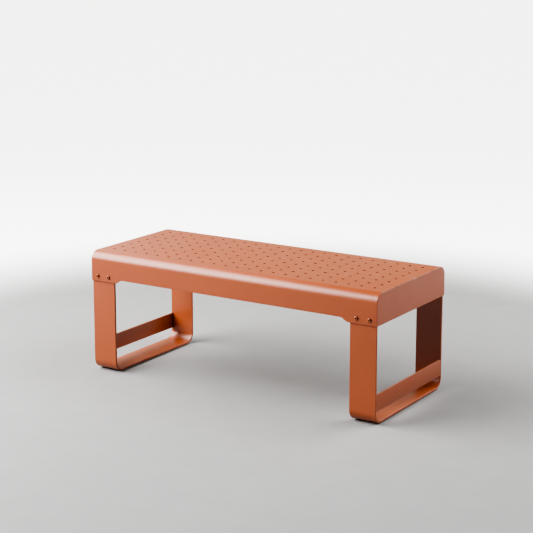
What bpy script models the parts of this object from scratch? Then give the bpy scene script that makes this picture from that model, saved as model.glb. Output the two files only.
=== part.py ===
"""Backless steel bench: a folded, perforated seat bolted to two U-shaped flat-bar legs.

The bench runs along X, its front faces -Y and +Z is up. The origin is on the floor, under the
middle of the seat. Every length is in metres.
"""

import math

import bmesh
import bpy
from mathutils import Matrix

# Driving dimensions of the whole bench
LENGTH = 1.2
DEPTH = 0.5
HEIGHT = 0.455
FIT_GAP = 0.0003  # clearance between pieces that touch

# Seat: one folded sheet, closed by a flat plate at each end
SHEET = 0.003
SEAT_BEND_RADIUS = 0.0345  # outside of the fold between the seat and each apron
TAB_DROP = 0.110  # from the seat down to the lower edge of the tabs over the legs
APRON_DROP = 0.096  # the same between the tabs
TAB_REACH = 0.105  # from the end of the bench to where a tab starts to slope
TAB_SLOPE = 0.040  # length of the curved slope between tab and apron

# Perforation: a square grid
HOLE_DIAMETER = 0.010
HOLE_PITCH = 0.05
HOLE_COLUMNS = 23
HOLE_ROWS = 8

# Stiffening ribs: hat sections welded under the seat, between two columns of holes
RIB_X = 0.175
RIB_LENGTH = 0.42
RIB_CROWN = 0.022
RIB_DEPTH = 0.025
RIB_FLANGE = 0.008
RIB_SHEET = 0.002

# Legs: flat bar bent to a U, with a flat crossbar level with its outer edge
LEG_WIDTH = 0.100
LEG_BAR = 0.008
LEG_BEND_RADIUS = 0.040  # outside of the bend at the floor
LEG_TOP = 0.418
CROSSBAR_BOTTOM = 0.049
CROSSBAR_HEIGHT = 0.060
CROSSBAR_BAR = 0.006

# Glides: thin pads between the legs and the floor
GLIDE_THICKNESS = 0.003
GLIDE_LENGTH = 0.060
GLIDE_WIDTH = 0.080
GLIDE_CORNER = 0.008
GLIDE_Y = 0.155

# M8 fasteners: two screws through each tab, each with a washer and a nut inside
SCREW_DROP = 0.091  # from the seat down to the screws
SCREW_SPACING = 0.050
SCREW_HOLE_DIAMETER = 0.009
SHANK_RADIUS = 0.004
SHANK_LENGTH = 0.025
SHANK_CHAMFER = 0.0008
HEAD_RADIUS = 0.007
HEAD_HEIGHT = 0.0044
HEAD_RIM = 0.0008
HEAD_CROWN_RADIUS = 0.0037
SOCKET_APOTHEM = 0.0025
SOCKET_DEPTH = 0.0025
WASHER_RADIUS = 0.008
WASHER_THICKNESS = 0.0016
NUT_APOTHEM = 0.0065
NUT_THICKNESS = 0.0065
BORE_RADIUS = 0.0044

# Facets
BEND_STEPS = 6
SLOPE_STEPS = 4
HOLE_SIDES = 8
ROUND_SIDES = 12
DOME_STEPS = 3
SHARP_ANGLE = math.radians(35)
CUTTER_MARGIN = 0.01

# Places that follow from the dimensions above
TAB_BOTTOM = HEIGHT - TAB_DROP
APRON_BOTTOM = HEIGHT - APRON_DROP
SCREW_Z = HEIGHT - SCREW_DROP
INSIDE_X = LENGTH / 2 - SHEET - FIT_GAP  # reach of the pieces that fit between the end plates
PANEL_LENGTH = 2 * INSIDE_X
LEG_X = INSIDE_X - LEG_WIDTH / 2
LEG_FACE = DEPTH / 2 - SHEET - FIT_GAP  # distance of the uprights' outer faces from the middle
LEG_BACK = LEG_FACE - LEG_BAR  # the same for their inner faces
SIDES = {"left": -1, "right": 1}
FACES = {"front": -1, "rear": 1}

COATING = {"colour": (0.50, 0.125, 0.045, 1.0), "roughness": 0.45, "metallic": 0.0}
ZINC = {"colour": (0.56, 0.57, 0.58, 1.0), "roughness": 0.35, "metallic": 1.0}
RUBBER = {"colour": (0.015, 0.015, 0.016, 1.0), "roughness": 0.8, "metallic": 0.0}


def clear_scene():
    for obj in list(bpy.data.objects):
        bpy.data.objects.remove(obj, do_unlink=True)


def make_material(name, look):
    material = bpy.data.materials.new(name)
    material.use_nodes = True
    shader = material.node_tree.nodes["Principled BSDF"]
    shader.inputs["Base Color"].default_value = look["colour"]
    shader.inputs["Roughness"].default_value = look["roughness"]
    shader.inputs["Metallic"].default_value = look["metallic"]
    material.diffuse_color = look["colour"]
    return material


def add_object(name, mesh, look, location=(0, 0, 0), rotation=(0, 0, 0)):
    """Places a named piece with a material of its own and parents it to the bench's empty."""
    obj = bpy.data.objects.new(name, mesh)
    bpy.context.scene.collection.objects.link(obj)
    obj.location = location
    obj.rotation_euler = rotation
    obj.parent = bpy.data.objects["bench"]
    if not mesh.materials:
        mesh.materials.append(None)
    obj.material_slots[0].link = "OBJECT"
    obj.material_slots[0].material = make_material(name + "_finish", look)
    return obj


def finish_mesh(bm, name, smooth=False):
    bmesh.ops.recalc_face_normals(bm, faces=bm.faces)
    mesh = bpy.data.meshes.new(name)
    bm.to_mesh(mesh)
    bm.free()
    if smooth:
        mesh.shade_smooth()
        mesh.set_sharp_from_angle(angle=SHARP_ANGLE)
    return mesh


def arc(centre, radius, start, end, steps):
    """Points along an arc in an outline's plane, both ends included; the angles are in degrees."""
    points = []
    for step in range(steps + 1):
        angle = math.radians(start + (end - start) * step / steps)
        points.append((centre[0] + radius * math.cos(angle), centre[1] + radius * math.sin(angle)))
    return points


def extrude_outline(name, outline, along, thickness, smooth=False):
    """A closed solid: an outline in the YZ plane extruded along X, or in the XZ plane along Y."""
    bm = bmesh.new()
    verts = []
    for across, up in outline:
        place = (-thickness / 2, across, up) if along == "X" else (across, -thickness / 2, up)
        verts.append(bm.verts.new(place))
    face = bm.faces.new(verts)
    grown = bmesh.ops.extrude_face_region(bm, geom=[face])["geom"]
    moved = [item for item in grown if isinstance(item, bmesh.types.BMVert)]
    step = (thickness, 0, 0) if along == "X" else (0, thickness, 0)
    bmesh.ops.translate(bm, verts=moved, vec=step)
    return finish_mesh(bm, name, smooth)


def lathe(name, rings):
    """A closed round solid about Z from (radius function, height) rings, capped at both ends."""
    bm = bmesh.new()
    loops = []
    for radius_at, height in rings:
        loop = []
        for side in range(ROUND_SIDES):
            angle = 2 * math.pi * side / ROUND_SIDES
            radius = radius_at(angle)
            loop.append(bm.verts.new((radius * math.cos(angle), radius * math.sin(angle), height)))
        loops.append(loop)
    bridge(bm, loops)
    bm.faces.new(loops[0])
    bm.faces.new(loops[-1])
    return finish_mesh(bm, name, smooth=True)


def bridge(bm, loops):
    """Faces between each loop of vertices and the next one."""
    for lower, upper in zip(loops, loops[1:]):
        for side in range(ROUND_SIDES):
            after = (side + 1) % ROUND_SIDES
            bm.faces.new((lower[side], lower[after], upper[after], upper[side]))


def round_radius(radius):
    return lambda angle: radius


def hexagon_radius(apothem):
    """Distance from the axis to a hexagon's side, by angle."""
    sixth = math.pi / 3
    return lambda angle: apothem / math.cos((angle + sixth / 2) % sixth - sixth / 2)


def cut(obj, cutter):
    modifier = obj.modifiers.new("cut_" + cutter.name, "BOOLEAN")
    modifier.operation = "DIFFERENCE"
    modifier.solver = "EXACT"
    modifier.object = cutter


def add_cutter(name, mesh):
    cutter = bpy.data.objects.new(name, mesh)
    bpy.context.scene.collection.objects.link(cutter)
    cutter.hide_render = True
    cutter.display_type = "WIRE"
    cutter.parent = bpy.data.objects["bench"]
    return cutter


def seat_line(inset):
    """Front apron, fold, seat, fold and rear apron: one line, inset from the outer skin."""
    fold_y = DEPTH / 2 - SEAT_BEND_RADIUS
    fold_z = HEIGHT - SEAT_BEND_RADIUS
    radius = SEAT_BEND_RADIUS - inset
    front = arc((-fold_y, fold_z), radius, 180, 90, BEND_STEPS)
    rear = arc((fold_y, fold_z), radius, 90, 0, BEND_STEPS)
    return [(inset - DEPTH / 2, TAB_BOTTOM)] + front + rear + [(DEPTH / 2 - inset, TAB_BOTTOM)]


def apron_relief():
    """Cuts both aprons shallower between the tabs, with an S-shaped slope of two equal arcs."""
    rise = TAB_DROP - APRON_DROP
    radius = (TAB_SLOPE**2 + rise**2) / (4 * rise)
    sweep = math.degrees(math.asin(TAB_SLOPE / 2 / radius))
    foot_x = LENGTH / 2 - TAB_REACH
    upper = arc((foot_x - TAB_SLOPE, APRON_BOTTOM - radius), radius, 90, 90 - sweep, SLOPE_STEPS)
    lower = arc((foot_x, TAB_BOTTOM + radius), radius, 270 - sweep, 270, SLOPE_STEPS)
    right = upper + lower[1:] + [(foot_x, TAB_BOTTOM - CUTTER_MARGIN)]
    left = [(-x, z) for x, z in reversed(right)]
    width = DEPTH + 2 * CUTTER_MARGIN
    return add_cutter("apron_relief", extrude_outline("apron_relief", left + right, "Y", width))


def hole_cutter():
    """One short prism for each perforation."""
    bm = bmesh.new()
    for column in range(HOLE_COLUMNS):
        for row in range(HOLE_ROWS):
            x = (column - (HOLE_COLUMNS - 1) / 2) * HOLE_PITCH
            y = (row - (HOLE_ROWS - 1) / 2) * HOLE_PITCH
            bmesh.ops.create_cone(
                bm,
                cap_ends=True,
                segments=HOLE_SIDES,
                radius1=HOLE_DIAMETER / 2,
                radius2=HOLE_DIAMETER / 2,
                depth=3 * SHEET,
                matrix=Matrix.Translation((x, y, HEIGHT - SHEET / 2)),
            )
    return add_cutter("perforation", finish_mesh(bm, "perforation"))


def screw_xs():
    """Every screw's side, its name along the leg and its X."""
    places = []
    for side, sign in SIDES.items():
        for step, direction in (("outer", 1), ("inner", -1)):
            places.append((side, step, sign * (LEG_X + direction * SCREW_SPACING / 2)))
    return places


def screw_hole_cutter():
    """One rod for each pair of screws, through both aprons and both uprights."""
    bm = bmesh.new()
    for _side, _step, x in screw_xs():
        turn = Matrix.Translation((x, 0, SCREW_Z)) @ Matrix.Rotation(math.pi / 2, 4, "X")
        bmesh.ops.create_cone(
            bm,
            cap_ends=True,
            segments=ROUND_SIDES,
            radius1=SCREW_HOLE_DIAMETER / 2,
            radius2=SCREW_HOLE_DIAMETER / 2,
            depth=DEPTH + 2 * CUTTER_MARGIN,
            matrix=turn,
        )
    return add_cutter("screw_holes", finish_mesh(bm, "screw_holes"))


def make_seat_panel(screw_holes):
    section = seat_line(0) + seat_line(SHEET)[::-1]
    mesh = extrude_outline("seat_panel", section, "X", PANEL_LENGTH, smooth=True)
    panel = add_object("seat_panel", mesh, COATING)
    cut(panel, apron_relief())
    cut(panel, screw_holes)
    cut(panel, hole_cutter())


def make_end_plates():
    mesh = extrude_outline("end_plate", seat_line(0), "X", SHEET)
    for side, sign in SIDES.items():
        x = sign * (LENGTH - SHEET) / 2
        add_object("end_plate_" + side, mesh, COATING, location=(x, 0, 0))


def make_seat_ribs():
    """Hat sections: a crown, two webs, and two flanges that lie against the sheet."""
    outer = RIB_CROWN / 2
    inner = outer - RIB_SHEET
    brim = outer + RIB_FLANGE
    right = [(inner, RIB_SHEET - RIB_DEPTH), (inner, 0), (brim, 0)]
    right += [(brim, -RIB_SHEET), (outer, -RIB_SHEET), (outer, -RIB_DEPTH)]
    left = [(-x, z) for x, z in reversed(right)]
    mesh = extrude_outline("seat_rib", right + left, "Y", RIB_LENGTH)
    for side, sign in SIDES.items():
        z = HEIGHT - SHEET - FIT_GAP
        add_object("seat_rib_" + side, mesh, COATING, location=(sign * RIB_X, 0, z))


def leg_line(inset):
    """Front upright, bend, foot, bend and rear upright: one line, inset from the outer face."""
    bend_y = LEG_FACE - LEG_BEND_RADIUS
    bend_z = GLIDE_THICKNESS + LEG_BEND_RADIUS
    radius = LEG_BEND_RADIUS - inset
    front = arc((-bend_y, bend_z), radius, 180, 270, BEND_STEPS)
    rear = arc((bend_y, bend_z), radius, 270, 360, BEND_STEPS)
    return [(inset - LEG_FACE, LEG_TOP)] + front + rear + [(LEG_FACE - inset, LEG_TOP)]


def make_legs(screw_holes):
    section = leg_line(0) + leg_line(LEG_BAR)[::-1]
    mesh = extrude_outline("leg", section, "X", LEG_WIDTH, smooth=True)
    for side, sign in SIDES.items():
        leg = add_object("leg_" + side, mesh, COATING, location=(sign * LEG_X, 0, 0))
        cut(leg, screw_holes)


def make_crossbars():
    half = LEG_BACK - FIT_GAP
    top = CROSSBAR_BOTTOM + CROSSBAR_HEIGHT
    outline = [(-half, CROSSBAR_BOTTOM), (half, CROSSBAR_BOTTOM), (half, top), (-half, top)]
    mesh = extrude_outline("crossbar", outline, "X", CROSSBAR_BAR)
    for side, sign in SIDES.items():
        x = sign * (INSIDE_X - CROSSBAR_BAR / 2)
        add_object("crossbar_" + side, mesh, COATING, location=(x, 0, 0))


def make_glides():
    """Pads with rounded corners, two under each leg."""
    thickness = GLIDE_THICKNESS - FIT_GAP
    corner_x = GLIDE_WIDTH / 2 - GLIDE_CORNER
    corner_y = GLIDE_LENGTH / 2 - GLIDE_CORNER
    outline = []
    for quarter, (sign_x, sign_y) in enumerate(((1, 1), (-1, 1), (-1, -1), (1, -1))):
        centre = (sign_x * corner_x, sign_y * corner_y)
        outline += arc(centre, GLIDE_CORNER, 90 * quarter, 90 * (quarter + 1), SLOPE_STEPS)
    bm = bmesh.new()
    face = bm.faces.new([bm.verts.new((x, y, 0)) for x, y in outline])
    grown = bmesh.ops.extrude_face_region(bm, geom=[face])["geom"]
    raised = [item for item in grown if isinstance(item, bmesh.types.BMVert)]
    bmesh.ops.translate(bm, verts=raised, vec=(0, 0, thickness))
    mesh = finish_mesh(bm, "glide")
    for side, sign in SIDES.items():
        for face_name, direction in FACES.items():
            place = (sign * LEG_X, direction * GLIDE_Y, 0)
            add_object(f"glide_{side}_{face_name}", mesh, RUBBER, location=place)


def screw_mesh():
    """A button-head screw along Z: its head rests on z = 0 and its shank points down."""
    shank = round_radius(SHANK_RADIUS)
    rings = [
        (round_radius(SHANK_RADIUS - SHANK_CHAMFER), -SHANK_LENGTH),
        (shank, SHANK_CHAMFER - SHANK_LENGTH),
        (shank, 0),
        (round_radius(HEAD_RADIUS), 0),
    ]
    for step in range(DOME_STEPS + 1):
        angle = math.pi / 2 * step / DOME_STEPS
        radius = HEAD_CROWN_RADIUS + (HEAD_RADIUS - HEAD_CROWN_RADIUS) * math.cos(angle)
        height = HEAD_RIM + (HEAD_HEIGHT - HEAD_RIM) * math.sin(angle)
        rings.append((round_radius(radius), height))
    socket = hexagon_radius(SOCKET_APOTHEM)
    rings.append((socket, HEAD_HEIGHT))
    rings.append((socket, HEAD_HEIGHT - SOCKET_DEPTH))
    return lathe("screw", rings)


def collar_mesh(name, outside, thickness):
    """A flat ring about Z with a round bore: a washer, or a nut if its outside is a hexagon."""
    bore = round_radius(BORE_RADIUS)
    bm = bmesh.new()
    loops = []
    for radius_at, height in ((outside, 0), (outside, thickness), (bore, thickness), (bore, 0)):
        loop = []
        for side in range(ROUND_SIDES):
            angle = 2 * math.pi * side / ROUND_SIDES
            radius = radius_at(angle)
            loop.append(bm.verts.new((radius * math.cos(angle), radius * math.sin(angle), height)))
        loops.append(loop)
    bridge(bm, loops + loops[:1])
    return finish_mesh(bm, name, smooth=True)


def make_fasteners():
    """A screw from outside each tab, and a washer and a nut on the inner face of the upright."""
    screw = screw_mesh()
    washer = collar_mesh("washer", round_radius(WASHER_RADIUS), WASHER_THICKNESS)
    nut = collar_mesh("nut", hexagon_radius(NUT_APOTHEM), NUT_THICKNESS)
    head_y = DEPTH / 2 + FIT_GAP
    washer_y = LEG_BACK - FIT_GAP - WASHER_THICKNESS
    nut_y = washer_y - FIT_GAP - NUT_THICKNESS
    pieces = (
        ("screw", screw, COATING, head_y),
        ("washer", washer, ZINC, washer_y),
        ("nut", nut, ZINC, nut_y),
    )
    for side, step, x in screw_xs():
        for face_name, direction in FACES.items():
            turn = (-direction * math.pi / 2, 0, 0)
            for kind, mesh, look, distance in pieces:
                name = f"{kind}_{side}_{face_name}_{step}"
                add_object(name, mesh, look, (x, direction * distance, SCREW_Z), turn)


def main():
    clear_scene()
    bench = bpy.data.objects.new("bench", None)
    bpy.context.scene.collection.objects.link(bench)
    screw_holes = screw_hole_cutter()
    make_seat_panel(screw_holes)
    make_end_plates()
    make_seat_ribs()
    make_legs(screw_holes)
    make_crossbars()
    make_glides()
    make_fasteners()


main()
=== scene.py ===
"""Looks of the backless perforated bench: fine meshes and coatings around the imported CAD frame.

The bench runs along X, its front faces -Y and +Z is up, with the origin on the floor under the
middle of the seat. Lengths are in metres. Every sheet or bar is one flat layout (u along the piece,
v along its bent line), triangulated once and folded into place, with rounded edges all round.
"""

import bisect
import math

import bmesh
import bpy
from mathutils import Matrix, Vector
from mathutils.geometry import delaunay_2d_cdt


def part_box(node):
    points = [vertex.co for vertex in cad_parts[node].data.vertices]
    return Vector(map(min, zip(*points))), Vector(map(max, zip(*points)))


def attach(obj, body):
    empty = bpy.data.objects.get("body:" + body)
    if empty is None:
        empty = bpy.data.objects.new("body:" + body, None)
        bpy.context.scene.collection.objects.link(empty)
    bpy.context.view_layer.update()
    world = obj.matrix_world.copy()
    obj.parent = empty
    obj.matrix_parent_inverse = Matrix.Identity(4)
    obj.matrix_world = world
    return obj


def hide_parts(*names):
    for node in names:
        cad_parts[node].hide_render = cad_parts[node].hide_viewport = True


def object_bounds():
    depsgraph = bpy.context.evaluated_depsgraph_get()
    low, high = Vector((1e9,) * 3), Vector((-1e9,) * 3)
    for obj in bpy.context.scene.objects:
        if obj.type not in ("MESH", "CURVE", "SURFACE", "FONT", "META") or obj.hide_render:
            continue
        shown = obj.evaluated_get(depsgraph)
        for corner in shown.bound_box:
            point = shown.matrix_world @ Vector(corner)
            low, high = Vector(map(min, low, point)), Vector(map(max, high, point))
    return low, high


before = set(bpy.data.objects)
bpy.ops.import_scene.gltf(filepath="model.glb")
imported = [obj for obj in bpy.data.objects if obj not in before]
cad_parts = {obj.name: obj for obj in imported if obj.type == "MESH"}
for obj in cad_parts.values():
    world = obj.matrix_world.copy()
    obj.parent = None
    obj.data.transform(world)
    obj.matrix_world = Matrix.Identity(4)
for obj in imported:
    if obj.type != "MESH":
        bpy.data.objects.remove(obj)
CAD_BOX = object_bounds()

SIDES = {"left": -1, "right": 1}
FACES = {"front": -1, "rear": 1}
STEPS = ("inner", "outer")  # of the two screws side by side through a leg

# Seat shell
SHEET = 0.003
SEAT_BEND_RADIUS = 0.0345  # outside of the fold between the seat and each apron
APRON_RISE = 0.014  # how much shallower the aprons are between the tabs
TAB_REACH = 0.105  # from the end of the bench to where a tab starts to slope
TAB_SLOPE = 0.040  # length of the S-shaped slope from tab to apron
SHEET_EDGE = 0.0006  # rounding along the edges of the sheet
PLATE_EDGE = 0.0012  # rounding around the outer face of an end plate

# Perforation: a square grid of punched holes
HOLE_RADIUS = 0.005
HOLE_RIM = 0.0005  # rounding on the seat's side; half as much underneath
HOLE_PITCH = 0.05
HOLE_COLUMNS = 23
HOLE_ROWS = 8

# Stiffening ribs under the seat: hat sections
RIB_SHEET = 0.002
RIB_FLANGE = 0.008
RIB_BEND_RADIUS = 0.003
RIB_EDGE = 0.0004

# Legs and crossbars: flat bar
LEG_BAR = 0.008
LEG_BEND_RADIUS = 0.040  # outside of the bend at the floor
BAR_EDGE = 0.0009
CROSSBAR_EDGE = 0.0007

# Glides
GLIDE_CORNER = 0.008
GLIDE_EDGE = 0.0005

# M8 fasteners
SHANK_RADIUS = 0.004
THREAD_ROOT = 0.0034
THREAD_PITCH = 0.00125
THREAD_LENGTH = 0.016
SHANK_CHAMFER = 0.0008
HEAD_RADIUS = 0.007
HEAD_RIM = 0.0008
HEAD_CROWN_RADIUS = 0.0037
HEAD_HEIGHT = 0.0044
SOCKET_APOTHEM = 0.0025
SOCKET_CHAMFER = 0.0003
SOCKET_DEPTH = 0.0026
SCREW_HOLE_RADIUS = 0.0045
BORE_RADIUS = 0.0044
BORE_CHAMFER = 0.0006
WASHER_RADIUS = 0.008
WASHER_EDGE = 0.0003
NUT_APOTHEM = 0.0065
NUT_COLLAR = 0.96  # radius where a nut's chamfer starts, as a share of its apothem
NUT_CHAMFER_ANGLE = math.radians(30)
SPIN_PER_METRE = 100  # radians that a fastener is turned, by its place along the bench

# Facets
BEND_STEPS = 24
SLOPE_STEPS = 12
RIB_STEPS = 5
HOLE_SIDES = 24
CORNER_STEPS = 6
EDGE_STEPS = 3
ROUND_SIDES = 48
DOME_STEPS = 10
SHARP_ANGLE = math.radians(50)
HOLD = 0.0005  # width of the flat margin that keeps shading flat beside a rounded edge
BEND_HOLD = 0.002  # the same beside a bend
FLUSH_TOLERANCE = 0.00005
MERGE_DISTANCE = 1e-6
SLIVER_AREA = 6e-9
INSIDE_ONLY = 1  # delaunay_2d_cdt keeps the triangles inside the outlines
TRIANGULATION_TOLERANCE = 1e-7


# ---------------------------------------------------------------- sheets and bars


def bent_line(start, heading, parts, steps):
    """Stations (distance, point, inward normal) along a line of straights and bends in a plane.

    A part is (length, 0) for a straight, or (radius, turn in degrees) for a bend, with its radius
    measured on this line. A clockwise turn is negative.
    """
    point = Vector(start)
    angle = math.radians(heading)
    distance = 0.0
    stations = []

    def add_station():
        stations.append((distance, point.copy(), Vector((math.sin(angle), -math.cos(angle)))))

    add_station()
    for index, (size, turn) in enumerate(parts):
        if turn == 0:
            ahead = Vector((math.cos(angle), math.sin(angle)))
            lead = BEND_HOLD if index > 0 else 0
            tail = BEND_HOLD if index < len(parts) - 1 else 0
            for piece in (lead, size - lead - tail, tail):
                if piece:
                    point = point + ahead * piece
                    distance += piece
                    add_station()
            continue
        step_angle = math.radians(turn) / steps
        for _step in range(steps):
            ahead = Vector((math.cos(angle + step_angle / 2), math.sin(angle + step_angle / 2)))
            point = point + ahead * 2 * size * math.sin(abs(step_angle) / 2)
            angle += step_angle
            distance += size * abs(step_angle)
            add_station()
    return stations


def fold(stations, distance, depth):
    """The point at a distance along a bent line and a depth below its skin."""
    places = [station[0] for station in stations]
    index = min(max(bisect.bisect_right(places, distance), 1), len(stations) - 1)
    start, start_point, start_normal = stations[index - 1]
    end, end_point, end_normal = stations[index]
    share = (distance - start) / (end - start)
    point = start_point.lerp(end_point, share)
    return point + start_normal.lerp(end_normal, share) * depth


def strip_layout(stations, half_width, front_edge=None, rear_edge=None):
    """A strip's outline, anticlockwise, and the index pairs that join its ends at every station."""
    length = stations[-1][0]
    front = front_edge or [(-half_width, 0), (half_width, 0)]
    rear = rear_edge or [(half_width, length), (-half_width, length)]
    rises = [station[0] for station in stations[1:-1]]
    outline = front + [(half_width, v) for v in rises] + rear
    outline += [(-half_width, v) for v in reversed(rises)]
    first = len(front)
    last = len(outline) - 1
    return outline, [(first + index, last - index) for index in range(len(rises))]


def circle(centre, radius, sides):
    """A clockwise loop, as the edge of a hole in an anticlockwise outline."""
    loop = []
    for side in range(sides):
        angle = -2 * math.pi * side / sides
        loop.append((centre[0] + radius * math.cos(angle), centre[1] + radius * math.sin(angle)))
    return loop


def inset_loop(loop, amount, flush_u=None):
    """The loop moved to its left by an amount; points at u = +-flush_u keep their u."""
    moved = []
    for index, here in enumerate(loop):
        before = Vector(loop[index - 1])
        here = Vector(here)
        after = Vector(loop[(index + 1) % len(loop)])
        left_in = (here - before).normalized().orthogonal()
        left_out = (after - here).normalized().orthogonal()
        shift = (left_in + left_out) / (1 + left_in.dot(left_out))
        place = here + shift * amount
        if flush_u is not None and abs(abs(here.x) - flush_u) < FLUSH_TOLERANCE:
            place.x = here.x
        moved.append(place)
    return moved


def round_edge(radius):
    """(inset, depth) pairs from a flat face round its edge, or the edge itself if it is sharp."""
    if not radius:
        return [(0, 0)]
    profile = [(radius + HOLD, 0)]
    for step in range(EDGE_STEPS + 1):
        angle = math.pi / 2 * step / EDGE_STEPS
        profile.append((radius * (1 - math.sin(angle)), radius * (1 - math.cos(angle))))
    return profile


def edge_profile(thickness, skin_radius, far_radius):
    """(inset, depth) pairs from the flat skin, round both edges, to the flat far face."""
    far = [(inset, thickness - depth) for inset, depth in round_edge(far_radius)]
    return round_edge(skin_radius) + far[::-1]


def sheet_mesh(name, loops, rungs, place, thickness, radii, flush_u=None):
    """A closed sheet from its flat layout.

    loops are the outline and the holes, each with its (skin, far face) edge radii in radii. rungs
    are index pairs in the outline to join, and place(u, v, depth) gives a point of the sheet.
    """
    bm = bmesh.new()
    rings = []
    for loop, (skin_radius, far_radius) in zip(loops, radii):
        levels = []
        for inset, depth in edge_profile(thickness, skin_radius, far_radius):
            points = inset_loop(loop, inset, flush_u)
            levels.append([(point, bm.verts.new(place(*point, depth))) for point in points])
        rings.append(levels)
        add_edge_faces(bm, levels)
    add_flat_faces(bm, [levels[0] for levels in rings], rungs)
    add_flat_faces(bm, [levels[-1] for levels in rings], rungs)
    join_flush_edges(bm)
    return finish_mesh(bm, name)


def add_edge_faces(bm, levels):
    """Joins the rings of (flat point, vertex) pairs along one loop's edge."""
    for upper, lower in zip(levels, levels[1:]):
        for index in range(len(upper)):
            corners = (upper[index - 1], upper[index], lower[index], lower[index - 1])
            bm.faces.new([vert for _point, vert in corners])


def add_flat_faces(bm, rings, rungs):
    """Fills one side of a sheet: the first ring is its outline and the others are its holes."""
    points = []
    verts = []
    outlines = []
    for ring in rings:
        loop = list(range(len(points), len(points) + len(ring)))
        outlines.append(loop[::-1] if outlines else loop)
        points += [point for point, _vert in ring]
        verts += [vert for _point, vert in ring]
    result = delaunay_2d_cdt(points, rungs, outlines, INSIDE_ONLY, TRIANGULATION_TOLERANCE)
    _points, _edges, faces, point_origins, _edge_origins, face_origins = result
    for corners, origins in zip(faces, face_origins):
        if origins == [0]:
            bm.faces.new([verts[point_origins[corner][0]] for corner in corners])


def join_flush_edges(bm):
    """Closes the faces without area that rings leave where an edge is flush with its neighbour."""
    bmesh.ops.remove_doubles(bm, verts=bm.verts, dist=MERGE_DISTANCE)
    targets = {}
    for face in bm.faces:
        if face.calc_area() > SLIVER_AREA:
            continue
        kept = max(face.edges, key=lambda edge: edge.calc_length()).verts
        for vert in face.verts:
            if vert not in kept:
                targets[vert] = min(kept, key=lambda end: (end.co - vert.co).length)
    bmesh.ops.weld_verts(bm, targetmap=targets)


def finish_mesh(bm, name):
    """A mesh with its normals out, shaded smooth except across its sharp edges."""
    bmesh.ops.recalc_face_normals(bm, faces=bm.faces)
    mesh = bpy.data.meshes.new(name)
    bm.to_mesh(mesh)
    bm.free()
    mesh.shade_smooth()
    mesh.set_sharp_from_angle(angle=SHARP_ANGLE)
    return mesh


# ---------------------------------------------------------------- pieces


def add_piece(name, mesh, material, nodes, matrix=None):
    """Shows a mesh instead of CAD nodes, with its finish, on the bench's one body."""
    piece = bpy.data.objects.new(name, mesh)
    bpy.context.scene.collection.objects.link(piece)
    if matrix is not None:
        piece.matrix_world = matrix
    if not mesh.materials:
        mesh.materials.append(material)
    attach(piece, "root")
    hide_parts(*nodes)


def seat_stations(low, high):
    """The seat's outer skin: front apron, fold, seat, fold and rear apron."""
    arm = high.z - low.z - SEAT_BEND_RADIUS
    span = high.y - low.y - 2 * SEAT_BEND_RADIUS
    parts = [(arm, 0), (SEAT_BEND_RADIUS, -90), (span, 0), (SEAT_BEND_RADIUS, -90), (arm, 0)]
    return bent_line((low.y, low.z), 90, parts, BEND_STEPS)


def screw_places(side):
    """X of the screws through one leg, inner and outer."""
    places = []
    for step in STEPS:
        low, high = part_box(f"screw_{side}_front_{step}")
        places.append((low.x + high.x) / 2)
    return places


def screw_height():
    """Z of every screw's axis."""
    low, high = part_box("screw_left_front_inner")
    return (low.z + high.z) / 2


def relief_line(half_width, tab_edge, rise):
    """A lower edge of the seat panel, from u = -half_width to half_width, raised between the tabs."""
    radius = (TAB_SLOPE**2 + rise**2) / (4 * abs(rise))
    sweep = math.asin(TAB_SLOPE / 2 / radius)
    foot_u = CAD_BOX[1][0] - TAB_REACH
    right = []
    for step in range(SLOPE_STEPS + 1):
        angle = sweep * step / SLOPE_STEPS
        u = foot_u - TAB_SLOPE + radius * math.sin(angle)
        right.append((u, tab_edge + rise - math.copysign(radius * (1 - math.cos(angle)), rise)))
    for step in reversed(range(SLOPE_STEPS)):
        angle = sweep * step / SLOPE_STEPS
        u = foot_u - radius * math.sin(angle)
        right.append((u, tab_edge + math.copysign(radius * (1 - math.cos(angle)), rise)))
    right.append((half_width, tab_edge))
    return [(-u, v) for u, v in reversed(right)] + right


def make_seat_panel(material):
    """The folded sheet, with its grid of holes and the screw holes in its four tabs."""
    low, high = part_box("seat_panel")
    stations = seat_stations(low, high)
    length = stations[-1][0]
    half_width = CAD_BOX[1][0] - SHEET
    front = relief_line(half_width, 0, APRON_RISE)
    rear = relief_line(half_width, length, -APRON_RISE)[::-1]
    outline, rungs = strip_layout(stations, half_width, front, rear)
    loops = [outline]
    radii = [(SHEET_EDGE, SHEET_EDGE)]
    for column in range(HOLE_COLUMNS):
        for row in range(HOLE_ROWS):
            u = (column - (HOLE_COLUMNS - 1) / 2) * HOLE_PITCH
            v = length / 2 + (row - (HOLE_ROWS - 1) / 2) * HOLE_PITCH
            loops.append(circle((u, v), HOLE_RADIUS, HOLE_SIDES))
            radii.append((HOLE_RIM, HOLE_RIM / 2))
    screw_v = screw_height() - low.z
    for side in SIDES:
        for u in screw_places(side):
            for v in (screw_v, length - screw_v):
                loops.append(circle((u, v), SCREW_HOLE_RADIUS, HOLE_SIDES))
                radii.append((SHEET_EDGE, SHEET_EDGE))

    def place(u, v, depth):
        across, up = fold(stations, v, depth)
        return u, across, up

    mesh = sheet_mesh("seat_panel", loops, rungs, place, SHEET, radii, half_width)
    add_piece("seat_panel_fine", mesh, material, ["seat_panel"])


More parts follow.
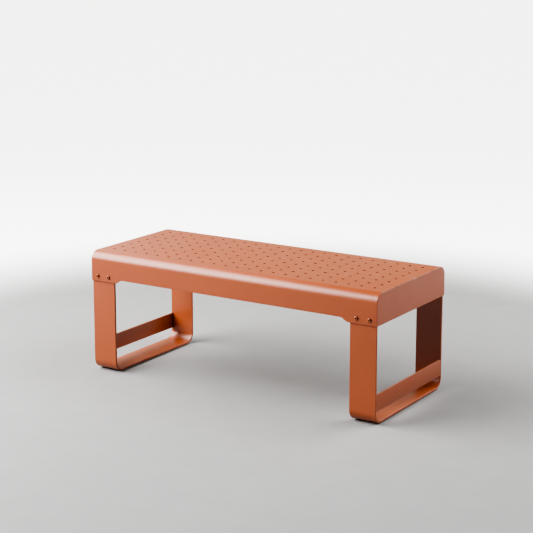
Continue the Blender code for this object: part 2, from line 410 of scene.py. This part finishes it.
def make_end_plates(material):
    """Flat plates with the outline of the folded seat."""
    for side, sign in SIDES.items():
        node = "end_plate_" + side
        low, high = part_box(node)
        stations = seat_stations(low, high)
        outline = [tuple(point) for _distance, point, _normal in stations][::-1]
        face_x = high.x if sign > 0 else low.x

        def place(u, v, depth, face_x=face_x, sign=sign):
            return face_x - sign * depth, u, v

        mesh = sheet_mesh(node, [outline], [], place, SHEET, [(PLATE_EDGE, 0)])
        add_piece(node + "_fine", mesh, material, [node])


def make_seat_ribs(material):
    """Each rib starts at the tip of one flange and ends at the tip of the other."""
    for side in SIDES:
        node = "seat_rib_" + side
        low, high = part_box(node)
        middle = (low.x + high.x) / 2
        brim = (high.x - low.x) / 2
        inside = brim - RIB_FLANGE - RIB_SHEET
        tight = RIB_BEND_RADIUS - RIB_SHEET
        flange = brim - inside - RIB_BEND_RADIUS
        web = high.z - low.z - RIB_SHEET - RIB_BEND_RADIUS - tight
        descent = [(flange, 0), (RIB_BEND_RADIUS, -90), (web, 0), (tight, 90)]
        parts = descent + [(2 * (inside - tight), 0)] + descent[::-1]
        stations = bent_line((-brim, high.z), 0, parts, RIB_STEPS)
        half_length = (high.y - low.y) / 2
        outline, rungs = strip_layout(stations, half_length)

        def place(u, v, depth, middle=middle, stations=stations):
            across, up = fold(stations, v, depth)
            return middle + across, u, up

        radii = [(RIB_EDGE, RIB_EDGE)]
        mesh = sheet_mesh(node, [outline], rungs, place, RIB_SHEET, radii)
        add_piece(node + "_fine", mesh, material, [node])


def make_legs(material):
    """Each leg runs down at the front, along the floor and up at the rear, on its outer line."""
    for side in SIDES:
        node = "leg_" + side
        low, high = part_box(node)
        arm = high.z - low.z - LEG_BEND_RADIUS
        span = high.y - low.y - 2 * LEG_BEND_RADIUS
        parts = [(arm, 0), (LEG_BEND_RADIUS, 90), (span, 0), (LEG_BEND_RADIUS, 90), (arm, 0)]
        stations = bent_line((low.y, high.z), -90, parts, BEND_STEPS)
        length = stations[-1][0]
        middle = (low.x + high.x) / 2
        half_width = (high.x - low.x) / 2
        outline, rungs = strip_layout(stations, half_width)
        loops = [outline]
        screw_v = high.z - screw_height()
        for x in screw_places(side):
            for v in (screw_v, length - screw_v):
                loops.append(circle((x - middle, v), SCREW_HOLE_RADIUS, HOLE_SIDES))

        def place(u, v, depth, middle=middle, stations=stations):
            across, up = fold(stations, v, -depth)
            return middle + u, across, up

        radii = [(BAR_EDGE, BAR_EDGE)] * len(loops)
        mesh = sheet_mesh(node, loops, rungs, place, LEG_BAR, radii)
        add_piece(node + "_fine", mesh, material, [node])


def make_crossbars(material):
    """Flat bars on edge, whose square ends are flush against the insides of the uprights."""
    for side, sign in SIDES.items():
        node = "crossbar_" + side
        low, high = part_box(node)
        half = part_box("leg_" + side)[1].y - LEG_BAR
        face_x = high.x if sign > 0 else low.x
        outline = [(-half, low.z), (half, low.z), (half, high.z), (-half, high.z)]

        def place(u, v, depth, face_x=face_x, sign=sign):
            return face_x - sign * depth, u, v

        radii = [(CROSSBAR_EDGE, CROSSBAR_EDGE)]
        mesh = sheet_mesh(node, [outline], [], place, high.x - low.x, radii, half)
        add_piece(node + "_fine", mesh, material, [node])


def rounded_rectangle(half_u, half_v, corner):
    """An anticlockwise outline about the origin."""
    outline = []
    for quarter, (sign_u, sign_v) in enumerate(((1, 1), (-1, 1), (-1, -1), (1, -1))):
        for step in range(CORNER_STEPS + 1):
            angle = math.pi / 2 * (quarter + step / CORNER_STEPS)
            u = sign_u * (half_u - corner) + corner * math.cos(angle)
            v = sign_v * (half_v - corner) + corner * math.sin(angle)
            outline.append((u, v))
    return outline


def make_glides(material):
    """Pads with round corners, from the underside of each leg to the floor."""
    for side in SIDES:
        for face in FACES:
            node = f"glide_{side}_{face}"
            low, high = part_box(node)
            middle = (low + high) / 2
            half = (high - low) / 2
            outline = rounded_rectangle(half.x, half.y, GLIDE_CORNER)
            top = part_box("leg_" + side)[0].z

            def place(u, v, depth, middle=middle, top=top):
                return middle.x + u, middle.y + v, top - depth

            radii = [(GLIDE_EDGE, GLIDE_EDGE)]
            mesh = sheet_mesh(node, [outline], [], place, top - low.z, radii)
            add_piece(node + "_fine", mesh, material, [node])


# ---------------------------------------------------------------- fasteners


def lathe(name, rings, closed=False):
    """A round solid about Z from (radius function, height) rings, capped unless it is a collar."""
    bm = bmesh.new()
    loops = []
    for radius_at, height_at in rings:
        loop = []
        for side in range(ROUND_SIDES):
            angle = 2 * math.pi * side / ROUND_SIDES
            radius = radius_at(angle)
            height = height_at(radius) if callable(height_at) else height_at
            loop.append(bm.verts.new((radius * math.cos(angle), radius * math.sin(angle), height)))
        loops.append(loop)
    pairs = list(zip(loops, loops[1:]))
    if closed:
        pairs.append((loops[-1], loops[0]))
    else:
        bm.faces.new(loops[0])
        bm.faces.new(loops[-1])
    for lower, upper in pairs:
        for side in range(ROUND_SIDES):
            bm.faces.new((lower[side - 1], lower[side], upper[side], upper[side - 1]))
    return finish_mesh(bm, name)


def round_radius(radius):
    """The same distance from the axis at every angle."""
    return lambda angle: radius


def hexagon_radius(apothem):
    """Distance from the axis to a hexagon's side, by angle."""
    sixth = math.pi / 3
    return lambda angle: apothem / math.cos((angle + sixth / 2) % sixth - sixth / 2)


def screw_mesh(head_height, length):
    """A button-head screw along Z: its head rests on z = 0 and its threaded shank points down."""
    rings = [
        (round_radius(THREAD_ROOT), -length),
        (round_radius(SHANK_RADIUS), SHANK_CHAMFER - length),
    ]
    height = SHANK_CHAMFER + THREAD_PITCH / 2 - length
    while height < THREAD_LENGTH - length:
        rings.append((round_radius(THREAD_ROOT), height))
        rings.append((round_radius(SHANK_RADIUS), height + THREAD_PITCH / 2))
        height += THREAD_PITCH
    rings += [
        (round_radius(SHANK_RADIUS), 0),
        (round_radius(HEAD_RADIUS), 0),
    ]
    dome_radius = HEAD_RADIUS - HEAD_CROWN_RADIUS
    for step in range(DOME_STEPS + 1):
        angle = math.pi / 2 * step / DOME_STEPS
        radius = HEAD_CROWN_RADIUS + dome_radius * math.cos(angle)
        rings.append((round_radius(radius), HEAD_RIM + (head_height - HEAD_RIM) * math.sin(angle)))
    rings += [
        (hexagon_radius(SOCKET_APOTHEM + SOCKET_CHAMFER), head_height),
        (hexagon_radius(SOCKET_APOTHEM), head_height - SOCKET_CHAMFER),
        (hexagon_radius(SOCKET_APOTHEM), head_height - SOCKET_DEPTH),
        (round_radius(SOCKET_CHAMFER), head_height - SOCKET_DEPTH - SOCKET_APOTHEM / 2),
    ]
    return lathe("screw", rings)


def washer_mesh(thickness):
    """A flat ring with its outer edges trimmed."""
    outer = round_radius(WASHER_RADIUS)
    inner = round_radius(BORE_RADIUS)
    trimmed = round_radius(WASHER_RADIUS - WASHER_EDGE)
    rings = [
        (inner, 0),
        (trimmed, 0),
        (outer, WASHER_EDGE),
        (outer, thickness - WASHER_EDGE),
        (trimmed, thickness),
        (inner, thickness),
    ]
    return lathe("washer", rings, closed=True)


def nut_mesh(thickness):
    """A hexagon whose corners are turned off by a cone at both ends, with a chamfered bore."""
    slope = math.tan(NUT_CHAMFER_ANGLE)
    start = NUT_APOTHEM * NUT_COLLAR
    hexagon = hexagon_radius(NUT_APOTHEM)
    collar = round_radius(start)
    bore = round_radius(BORE_RADIUS)
    countersink = round_radius(BORE_RADIUS + BORE_CHAMFER)
    rings = [
        (bore, BORE_CHAMFER),
        (countersink, 0),
        (collar, 0),
        (hexagon, lambda radius: (radius - start) * slope),
        (hexagon, lambda radius: thickness - (radius - start) * slope),
        (collar, thickness),
        (countersink, thickness),
        (bore, thickness - BORE_CHAMFER),
    ]
    return lathe("nut", rings, closed=True)


def make_fasteners(coating, zinc):
    """Meshes are shared: Z of each mesh points out of the bench, to the front or to the rear."""
    screw_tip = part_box("screw_left_rear_inner")[0].y
    washer_low, washer_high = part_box("washer_left_rear_inner")
    nut_low, nut_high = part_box("nut_left_rear_inner")
    seat = CAD_BOX[1][1] - HEAD_HEIGHT
    meshes = {
        "screw": (screw_mesh(HEAD_HEIGHT, seat - screw_tip), seat, coating, "screw_coating"),
        "washer": (washer_mesh(washer_high.y - washer_low.y), washer_low.y, zinc, "zinc_plating"),
        "nut": (nut_mesh(nut_high.y - nut_low.y), nut_low.y, zinc, "zinc_plating"),
    }
    for kind, (mesh, distance, material, slot) in meshes.items():
        for side in SIDES:
            for face, direction in FACES.items():
                for step, x in zip(STEPS, screw_places(side)):
                    node = f"{kind}_{side}_{face}_{step}"
                    turn = Matrix.Rotation(-direction * math.pi / 2, 4, "X")
                    spin = Matrix.Rotation(x * SPIN_PER_METRE, 4, "Z")
                    place = Matrix.Translation((x, direction * distance, screw_height()))
                    add_piece(node + "_fine", mesh, material, [node], place @ turn @ spin)


# ---------------------------------------------------------------- materials

# Noise scales are in features per metre, ranges are (low, high)
COAT_COLOUR = (0.30, 0.0735, 0.026)
COAT_SPECULAR = 0.55
COAT_ROUGHNESS = (0.31, 0.37)
COAT_TONE = (0.97, 1.03)  # variation of its brightness
COAT_CLOUD_SCALE = 5.0
COAT_SATIN_SCALE = 14.0
COAT_GRAIN_SCALE = 900.0
COAT_GRAIN_HEIGHT = 0.00003
COAT_GRAIN_STRENGTH = 0.5
PEEL_SCALE = 420.0
PEEL_HEIGHT = 0.00012
PEEL_STRENGTH = 0.35
THIN_GAIN = 1.15  # the thin film on edges is this much brighter,
THIN_LIFT = 0.03  # and this much paler
COAT_SCUFF_SCALE = 60.0
COAT_SCUFF_RANGE = (0.42, 0.62)
COAT_WEAR = 0.6  # share of the thin film where the edges are scuffed most
COAT_EDGE_REACH = 0.0012
EDGE_TURN = (0.80, 0.98)  # cosines between which an edge counts as rounded
RECESS_REACH = 0.006
RECESS_OPENNESS = (0.45, 0.9)
RECESS_SHADE_TONE = 0.15  # of the coat's colour, painted as shade deep in holes, sockets and seams
RECESS_ROUGHNESS = 0.75
BORE_FACING = (0.3, 0.8)  # squared upward part of the normal: a wall below, the sheet above
BEVEL_SAMPLES = 6
OCCLUSION_SAMPLES = 8

ZINC_BLUE = (0.60, 0.62, 0.66, 1)
ZINC_YELLOW = (0.50, 0.50, 0.48, 1)
ZINC_WORN = (0.72, 0.72, 0.70, 1)
ZINC_ROUGHNESS = (0.26, 0.42)
ZINC_CLOUD_SCALE = 300.0
ZINC_MARK_SCALE = 900.0
ZINC_EDGE_REACH = 0.0006
ZINC_EDGE_TURN = (0.75, 0.98)
ZINC_TURNING = (1.0, 1.0, 14.0)  # squeezes the noise into rings about Z
ZINC_TURNED_SCALE = 700.0
ZINC_TURNED_HEIGHT = 0.00004
ZINC_TURNED_STRENGTH = 0.4

RUBBER_BLACK = (0.012, 0.012, 0.013, 1)
RUBBER_GREY = (0.030, 0.029, 0.028, 1)
RUBBER_DUST = (0.055, 0.053, 0.050, 1)
RUBBER_ROUGHNESS = (0.70, 0.90)
RUBBER_PEBBLE_SCALE = 1200.0
RUBBER_PEBBLE_HEIGHT = 0.00008
RUBBER_PEBBLE_STRENGTH = 0.6
RUBBER_DUST_SCALE = 90.0
RUBBER_EDGE_REACH = 0.001


class Graph:
    """Adds nodes to a material and links them in one call each."""

    def __init__(self, name):
        self.material = bpy.data.materials.new(name)
        self.material.use_nodes = True
        self.tree = self.material.node_tree
        self.shader = self.tree.nodes["Principled BSDF"]

    def add(self, kind, inputs=None, **settings):
        node = self.tree.nodes.new("ShaderNode" + kind)
        for key, value in settings.items():
            setattr(node, key, value)
        for key, value in (inputs or {}).items():
            self.set(node, key, value)
        return node

    def set(self, node, key, value):
        if isinstance(value, bpy.types.NodeSocket):
            self.tree.links.new(value, node.inputs[key])
        else:
            node.inputs[key].default_value = value

    def noise(self, coordinates, scale, detail=2.0, roughness=0.5):
        inputs = {"Vector": coordinates, "Scale": scale, "Detail": detail, "Roughness": roughness}
        return self.add("TexNoise", inputs).outputs["Fac"]

    def span(self, value, low, high, start=0.3, end=0.7):
        """A value's range start..end, which is a noise's middle range, stretched to low..high."""
        inputs = {"Value": value, "From Min": start, "From Max": end, "To Min": low, "To Max": high}
        return self.add("MapRange", inputs).outputs["Result"]

    def scaled(self, colour, factor):
        """A colour times a number."""
        node = self.add("VectorMath", {0: colour, "Scale": factor}, operation="SCALE")
        return node.outputs[0]

    def product(self, first, second):
        return self.add("Math", {0: first, 1: second}, operation="MULTIPLY").outputs[0]

    def larger(self, first, second):
        return self.add("Math", {0: first, 1: second}, operation="MAXIMUM").outputs[0]

    def mix(self, factor, first, second):
        """A colour between two: a Mix node takes colours at 6 and 7 and gives one at 2."""
        node = self.add("Mix", data_type="RGBA")
        self.set(node, 0, factor)
        self.set(node, 6, first)
        self.set(node, 7, second)
        return node.outputs[2]

    def edge_mask(self, radius, low, high):
        """1 along rounded edges, 0 on flats: how far the surface turns within a radius."""
        bevel = self.add("Bevel", {"Radius": radius}, samples=BEVEL_SAMPLES).outputs[0]
        normal = self.add("NewGeometry").outputs["Normal"]
        dot = self.add("VectorMath", {0: bevel, 1: normal}, operation="DOT_PRODUCT")
        return self.span(dot.outputs["Value"], 1, 0, low, high)

    def painted_shade_mask(self, reach, low, high):
        """Painted shade: 1 deep in holes, sockets and seams narrower than a reach, 0 in the open."""
        inputs = {"Distance": reach}
        openness = self.add("AmbientOcclusion", inputs, samples=OCCLUSION_SAMPLES).outputs["AO"]
        return self.span(openness, 1, 0, low, high)

    def bore_shade_mask(self, height):
        """Painted shade: 1 on the walls of holes through a level sheet whose underside is at a
        height.
        """
        geometry = self.add("NewGeometry")
        level = self.add("SeparateXYZ", {0: geometry.outputs["Position"]}).outputs["Z"]
        facing = self.add("SeparateXYZ", {0: geometry.outputs["Normal"]}).outputs["Z"]
        steepness = self.span(self.product(facing, facing), 1, 0, *BORE_FACING)
        return self.product(steepness, self.span(level, 0, 1, height - SHEET_EDGE, height))

    def bump(self, height, distance, strength, normal=None):
        """A normal that leans with a height of 0 to 1 over a distance."""
        inputs = {"Height": height, "Distance": distance, "Strength": strength}
        if normal is not None:
            inputs["Normal"] = normal
        return self.add("Bump", inputs).outputs["Normal"]

    def finish(self, **inputs):
        """Sets the shader's inputs, whose names have _ for a space."""
        for key, value in inputs.items():
            self.set(self.shader, key.replace("_", " "), value)
        return self.material


def powder_coat(name, colour, sheet_height=None):
    """Satin powder coating: orange peel, fine grain, and a thinner, paler film on the edges.

    Painted shade darkens its recesses, and the walls of the holes where a level sheet is perforated.
    """
    graph = Graph(name)
    place = graph.add("TexCoord").outputs["Object"]
    cloud = graph.noise(place, COAT_CLOUD_SCALE, 3.0)
    grain = graph.noise(place, COAT_GRAIN_SCALE)
    tone = graph.product(graph.span(cloud, *COAT_TONE), graph.span(grain, *COAT_TONE))
    body = graph.scaled(colour, tone)
    thin = graph.scaled([THIN_GAIN * channel + THIN_LIFT for channel in colour], tone)
    scuff = graph.noise(place, COAT_SCUFF_SCALE, 4.0, 0.65)
    wear = graph.span(scuff, 0.0, COAT_WEAR, *COAT_SCUFF_RANGE)
    edge = graph.product(graph.edge_mask(COAT_EDGE_REACH, *EDGE_TURN), wear)
    # painted shade: the coat turns darker and rougher in recesses and on the walls of the holes
    painted_shade = graph.painted_shade_mask(RECESS_REACH, *RECESS_OPENNESS)
    if sheet_height is not None:
        painted_shade = graph.larger(painted_shade, graph.bore_shade_mask(sheet_height))
    finish = graph.mix(painted_shade, graph.mix(edge, body, thin), graph.scaled(colour, RECESS_SHADE_TONE))
    peel = graph.bump(graph.noise(place, PEEL_SCALE), PEEL_HEIGHT, PEEL_STRENGTH)
    skin = graph.bump(grain, COAT_GRAIN_HEIGHT, COAT_GRAIN_STRENGTH, peel)
    satin = graph.span(graph.noise(place, COAT_SATIN_SCALE, 4.0), *COAT_ROUGHNESS)
    gloss = graph.span(painted_shade, satin, RECESS_ROUGHNESS, 0, 1)
    inputs = {"Base_Color": finish, "Roughness": gloss, "Normal": skin}
    return graph.finish(Specular_IOR_Level=COAT_SPECULAR, **inputs)


def zinc_plate(name):
    """Bright zinc over turned steel, with a faint blue passivation and handling marks."""
    graph = Graph(name)
    place = graph.add("TexCoord").outputs["Object"]
    cloud = graph.noise(place, ZINC_CLOUD_SCALE, 3.0)
    base = graph.mix(cloud, ZINC_BLUE, ZINC_YELLOW)
    worn = graph.mix(graph.edge_mask(ZINC_EDGE_REACH, *ZINC_EDGE_TURN), base, ZINC_WORN)
    stretched = graph.add("Mapping", {"Vector": place, "Scale": ZINC_TURNING}).outputs[0]
    turned = graph.noise(stretched, ZINC_TURNED_SCALE)
    skin = graph.bump(turned, ZINC_TURNED_HEIGHT, ZINC_TURNED_STRENGTH)
    gloss = graph.span(graph.noise(place, ZINC_MARK_SCALE, 3.0), *ZINC_ROUGHNESS)
    return graph.finish(Base_Color=worn, Metallic=1.0, Roughness=gloss, Normal=skin)


def rubber(name):
    """Matt moulded rubber with a fine pebbled skin and dust on its edges."""
    graph = Graph(name)
    place = graph.add("TexCoord").outputs["Object"]
    pebble = graph.noise(place, RUBBER_PEBBLE_SCALE, 3.0)
    dust = graph.noise(place, RUBBER_DUST_SCALE, 5.0)
    body = graph.mix(dust, RUBBER_BLACK, RUBBER_GREY)
    edged = graph.mix(graph.edge_mask(RUBBER_EDGE_REACH, *EDGE_TURN), body, RUBBER_DUST)
    skin = graph.bump(pebble, RUBBER_PEBBLE_HEIGHT, RUBBER_PEBBLE_STRENGTH)
    gloss = graph.span(dust, *RUBBER_ROUGHNESS)
    return graph.finish(Base_Color=edged, Roughness=gloss, Normal=skin)


# ---------------------------------------------------------------- studio

CAMERA_PLACE = (2.8131, -4.3603, 1.6492)
CAMERA_YAW = 0.5715
CAMERA_PITCH = 0.1927
CAMERA_LENS = 99.34  # mm
CAMERA_SHIFT = -0.1088  # the bench stands below the middle of the frame

FLOOR_COLOUR = (0.27, 0.266, 0.262)
FLOOR_ROUGHNESS = 0.85
FLOOR_TONE = (0.97, 1.03)
FLOOR_TONE_SCALE = 9.0
FLOOR_RADIUS = 60.0
FLOOR_SIDES = 96
LAYER_RISE = 0.0005  # between the floor and each ring over it
GLOW_COLOUR = (1.0, 0.995, 0.98, 1)
BACKDROP_GLOW = 2.2  # as the camera sees it
SHEEN_GLOW = 0.35  # as the bench's gloss sees it
GLOW_START = 1.5  # distance from the origin where both rings start
GLOW_FULL = 2.6  # and where they glow fully

# Softboxes: azimuth from the front towards the left, elevation, width, height, power and colour.
# The first two light the front and make the long highlight along the fold.
WHITE = (1.0, 1.0, 1.0)
STRAW = (0.96, 1.0, 0.84)
LIGHT_DISTANCE = 4.0
LIGHT_TARGET = Vector((0, 0, 0.3))
LIGHTS = {
    "key": (59, 39, 3.9, 3.2, 372, WHITE),
    "low_key": (50, 29, 3.8, 2.5, 166, WHITE),
    "left": (115, 35, 2.7, 2.7, 28, WHITE),
    "rear_left": (146, 13, 2.7, 1.4, 8, STRAW),
    "rear_right": (-120, 45, 2.7, 2.7, 145, WHITE),
    "rear_low": (-150, 15, 2.7, 1.6, 85, WHITE),
}
AMBIENT = 0.005


def floor_paint(name, glow):
    """Pale grey that glows softly towards white further out, if it glows at all."""
    graph = Graph(name)
    place = graph.add("NewGeometry").outputs["Position"]
    tone = graph.span(graph.noise(place, FLOOR_TONE_SCALE, 6.0, 0.6), *FLOOR_TONE)
    graph.finish(Base_Color=graph.scaled(FLOOR_COLOUR, tone), Roughness=FLOOR_ROUGHNESS)
    if glow:
        radius = graph.add("VectorMath", {0: place}, operation="LENGTH").outputs["Value"]
        reach = {"Value": radius, "From Min": GLOW_START, "From Max": GLOW_FULL, "To Max": glow}
        rise = graph.add("MapRange", reach, interpolation_type="SMOOTHSTEP").outputs["Result"]
        graph.finish(Emission_Color=GLOW_COLOUR, Emission_Strength=rise)
    return graph.material


def add_ground(name, inner, height, paint):
    """A level disc, or a ring if it has an inner radius."""
    bm = bmesh.new()
    shared = {"segments": FLOOR_SIDES, "matrix": Matrix.Translation((0, 0, height))}
    bmesh.ops.create_circle(bm, cap_ends=not inner, radius=FLOOR_RADIUS, **shared)
    if inner:
        bmesh.ops.create_circle(bm, radius=inner, **shared)
        bmesh.ops.bridge_loops(bm, edges=bm.edges[:])
    mesh = bpy.data.meshes.new(name)
    bm.to_mesh(mesh)
    bm.free()
    mesh.materials.append(paint)
    ground = bpy.data.objects.new(name, mesh)
    bpy.context.scene.collection.objects.link(ground)
    return ground


def make_floor():
    """A plain floor, and glowing rings just over it that cast no diffuse light or shadow on the
    bench.

    The backdrop is what the camera sees, and the sheen is a painted reflection: a glow that only the
    bench's gloss reflects.
    """
    add_ground("floor", 0, 0, floor_paint("floor_paint", 0))
    for name, glow, layer in (("backdrop", BACKDROP_GLOW, 2), ("sheen", SHEEN_GLOW, 1)):
        paint = floor_paint(name + "_paint", glow)
        ring = add_ground(name, GLOW_START, layer * LAYER_RISE, paint)
        ring.visible_camera = name == "backdrop"
        ring.visible_glossy = name == "sheen"
        ring.visible_diffuse = False
        ring.visible_shadow = False


def make_softboxes():
    """Area lights at one distance, all turned to the bench."""
    for name, (azimuth, elevation, width, height, power, colour) in LIGHTS.items():
        azimuth = math.radians(azimuth)
        elevation = math.radians(elevation)
        level = math.cos(elevation)
        toward = Vector((-math.sin(azimuth) * level, -math.cos(azimuth) * level, math.sin(elevation)))
        light = bpy.data.lights.new(name, "AREA")
        light.shape = "RECTANGLE"
        light.size = width
        light.size_y = height
        light.energy = power
        light.color = colour
        softbox = bpy.data.objects.new(name, light)
        softbox.location = LIGHT_TARGET + toward * LIGHT_DISTANCE
        softbox.rotation_euler = (-toward).to_track_quat("-Z", "Y").to_euler()
        bpy.context.scene.collection.objects.link(softbox)


def make_surroundings():
    """A faint even light from all round, and the tones of the picture."""
    world = bpy.data.worlds.new("studio")
    world.use_nodes = True
    background = world.node_tree.nodes["Background"]
    background.inputs["Color"].default_value = (1, 1, 1, 1)
    background.inputs["Strength"].default_value = AMBIENT
    bpy.context.scene.world = world
    bpy.context.scene.view_settings.look = "AgX - High Contrast"


def make_camera():
    """A long lens, slightly above the seat, to the right of the front."""
    data = bpy.data.cameras.new("camera")
    data.lens = CAMERA_LENS
    data.shift_y = CAMERA_SHIFT
    camera = bpy.data.objects.new("camera", data)
    camera.location = CAMERA_PLACE
    camera.rotation_euler = (math.pi / 2 - CAMERA_PITCH, 0, CAMERA_YAW)
    bpy.context.scene.collection.objects.link(camera)
    bpy.context.scene.camera = camera


def main():
    """Builds the bench, then the studio around it."""
    coat = powder_coat("powder_coat", COAT_COLOUR)
    zinc = zinc_plate("zinc_plate")
    perforated_coat = powder_coat("perforated_coat", COAT_COLOUR, CAD_BOX[1][2] - SHEET)
    make_seat_panel(perforated_coat)
    make_end_plates(coat)
    make_seat_ribs(coat)
    make_legs(coat)
    make_crossbars(coat)
    make_glides(rubber("glide_rubber"))
    make_fasteners(coat, zinc)
    make_floor()
    make_softboxes()
    make_surroundings()
    make_camera()


main()
